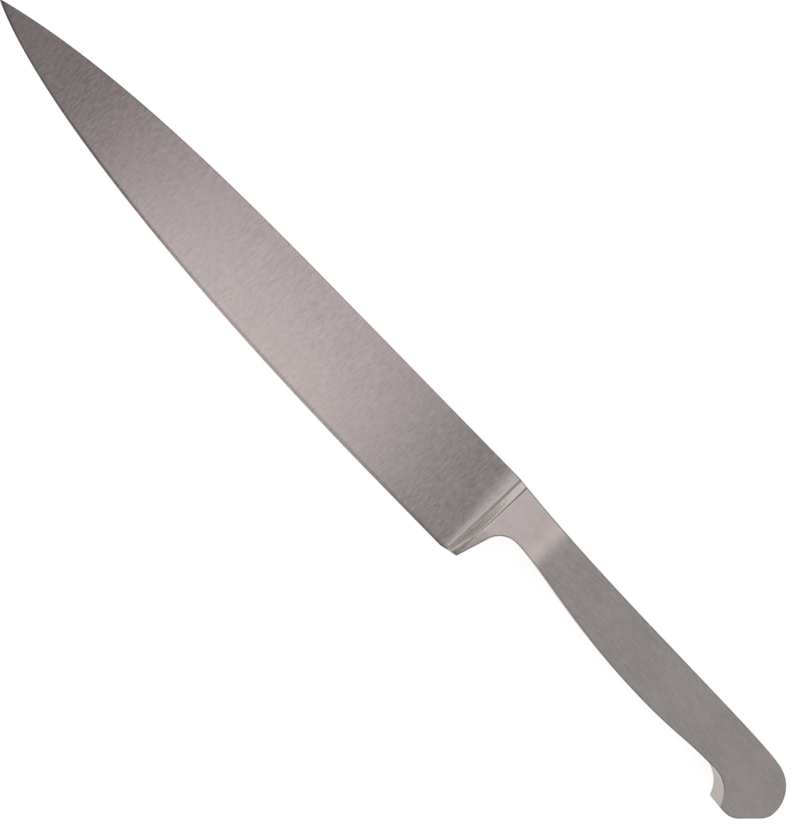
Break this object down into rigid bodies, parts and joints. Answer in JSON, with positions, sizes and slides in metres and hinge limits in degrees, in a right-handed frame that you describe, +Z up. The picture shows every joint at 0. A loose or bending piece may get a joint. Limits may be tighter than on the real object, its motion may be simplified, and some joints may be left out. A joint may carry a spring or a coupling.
{
  "type": "ham knife",
  "caption": "All-steel ham knife with a long pointed blade, a grooved bolster running into a finger guard, and a flat-sided handle with a hooked butt.",
  "frame": {"origin": "centre of the underside of the knife's box, on the plane that the right side of the handle rests on", "axes": "+X from the tip to the butt, +Y from the cutting edge to the spine, +Z up out of the knife's left side"},
  "size_m": [0.331, 0.0308, 0.014],
  "materials": {
    "blade_steel": "finely ground across the blade from edge to spine",
    "handle_steel": "fine satin",
    "braze_filler": "nickel braze, ground flush with the handle",
    "pin_steel": "ground"
  },
  "bodies": {
    "root": {"blade_forging": "blade_steel", "left_handle_scale": "handle_steel", "right_handle_scale": "handle_steel", "left_braze_foil": "braze_filler", "right_braze_foil": "braze_filler", "front_dowel_pin": "pin_steel", "middle_dowel_pin": "pin_steel", "rear_dowel_pin": "pin_steel"}
  },
  "joints": []
}
